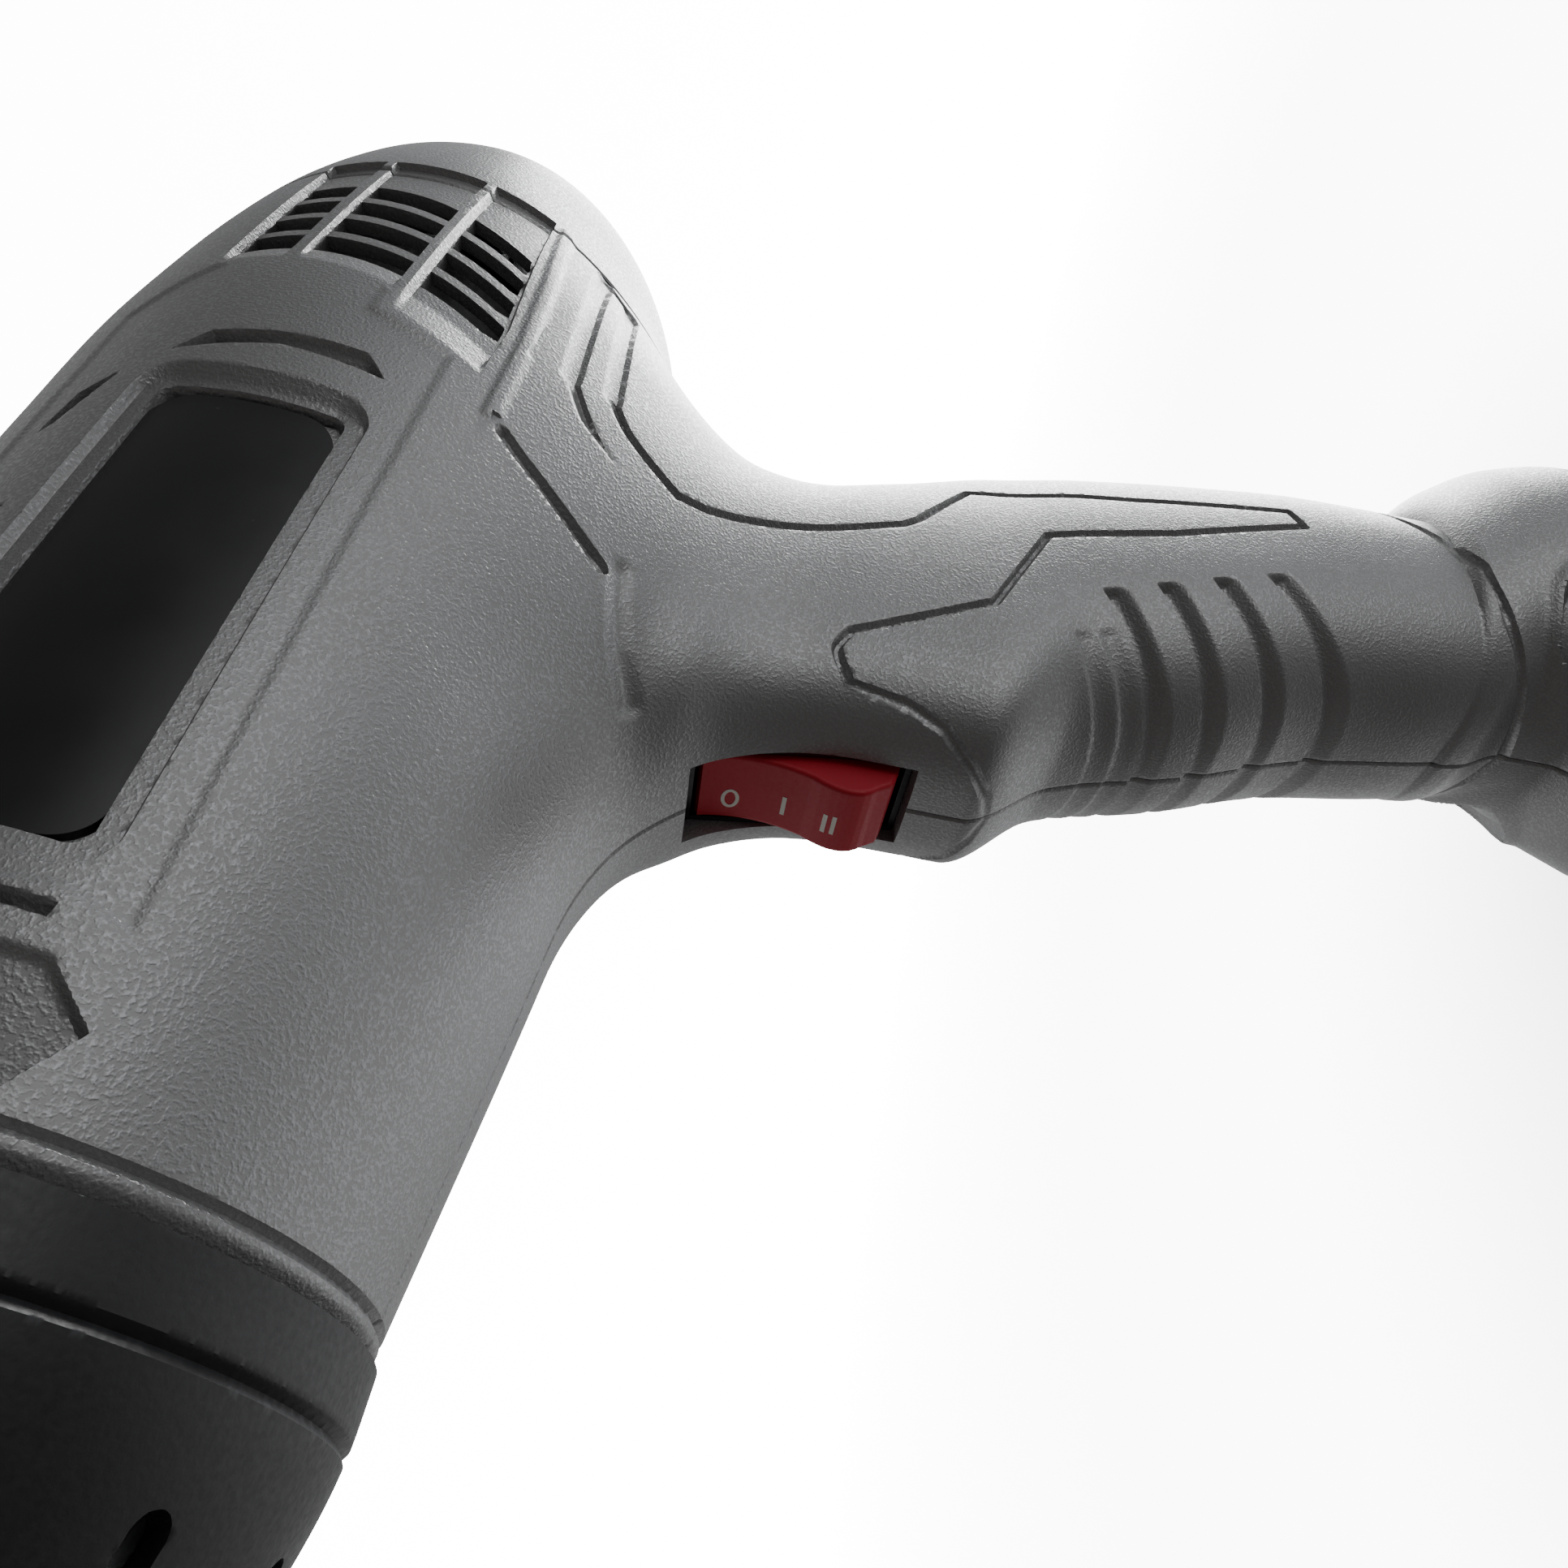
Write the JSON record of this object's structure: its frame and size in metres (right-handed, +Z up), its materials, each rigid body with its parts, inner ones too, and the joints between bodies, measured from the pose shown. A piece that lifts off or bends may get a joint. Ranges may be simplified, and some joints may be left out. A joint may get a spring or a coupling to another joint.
{
  "type": "heat gun",
  "caption": "Pistol-grip hot air gun with a vented barrel, black front collar, steel nozzle tube and a three-position rocker in the grip.",
  "frame": {"origin": "centre of the flat rear face, on the barrel's axis", "axes": "+X along the barrel towards the nozzle, +Y to the user's left, +Z up, the grip hangs towards -Z"},
  "size_m": [0.23, 0.0806, 0.2238],
  "materials": {
    "silver_plastic": "spark-textured silver grey",
    "black_plastic": "satin black",
    "gloss_black": "smooth black",
    "switch_black": "satin",
    "switch_red": "satin dark red",
    "steel": "turned",
    "dark_steel": "blackened",
    "nozzle_steel": "drawn stainless",
    "zinc_steel": "zinc plated",
    "white_nylon": "moulded",
    "heat_plastic": "glass-filled moulding",
    "copper": "bright",
    "brass": "bright",
    "ferrite": "sintered",
    "circuit_board": "paper laminate",
    "mica": "mica sheet",
    "resistance_alloy": "oxidised ribbon",
    "ceramic": "fired",
    "black_rubber": "matte",
    "capacitor_yellow": "moulded",
    "lead_red": "silicone"
  },
  "bodies": {
    "body": {"air_duct": "heat_plastic", "cap_screws": "dark_steel", "clamp_screws": "steel", "cord_clamp": "white_nylon", "cord_gland": "black_rubber", "duct_screws": "steel", "element_end_disc": "ceramic", "fan_housing": "heat_plastic", "front_bush": "brass", "front_shroud": "black_plastic", "heat_shield": "zinc_steel", "heating_ribbons": "resistance_alloy", "inner_leads": "lead_red", "insulating_ring": "ceramic", "left_nameplate": "gloss_black", "left_shell": "silver_plastic", "mica_sleeve": "mica", "mica_vane_level": "mica", "mica_vane_upright": "mica", "motor_can": "zinc_steel", "motor_end_cap": "white_nylon", "motor_magnets": "ferrite", "nozzle_tube": "nozzle_steel", "rear_bush": "brass", "rear_cap": "silver_plastic", "rectifier_board": "circuit_board", "rectifier_diodes": "switch_black", "right_nameplate": "gloss_black", "right_shell": "silver_plastic", "rocker_pin": "steel", "shell_screws": "dark_steel", "suppression_capacitor": "capacitor_yellow", "switch_housing": "switch_black", "switch_terminals": "brass", "terminal_block": "white_nylon", "thermal_cutout": "zinc_steel"},
    "rotor": {"motor_shaft": "steel", "impeller": "white_nylon", "armature": "steel", "commutator": "copper"},
    "rocker": {"switch_rocker": "switch_red", "rocker_plunger": "white_nylon"},
    "lever": {"contact_lever": "copper"}
  },
  "joints": [
    {"name": "fan_spin", "type": "hinge", "parent": "body", "child": "rotor", "pos_m": [0.06, 0, 0], "axis": [1, 0, 0], "continuous": true},
    {"name": "rocker_tilt", "type": "hinge", "parent": "body", "child": "rocker", "pos_m": [0.08355, 0, -0.05857], "axis": [0, 1, 0], "range_deg": [0, 24]},
    {"name": "lever_tilt", "type": "hinge", "parent": "body", "child": "lever", "pos_m": [0.07537, 0, -0.05712], "axis": [0, 1, 0], "range_deg": [-8.4, 0]}
  ],
  "couplings": [
    {"joint": "lever_tilt", "follows": "rocker_tilt", "ratio": -0.33}
  ]
}
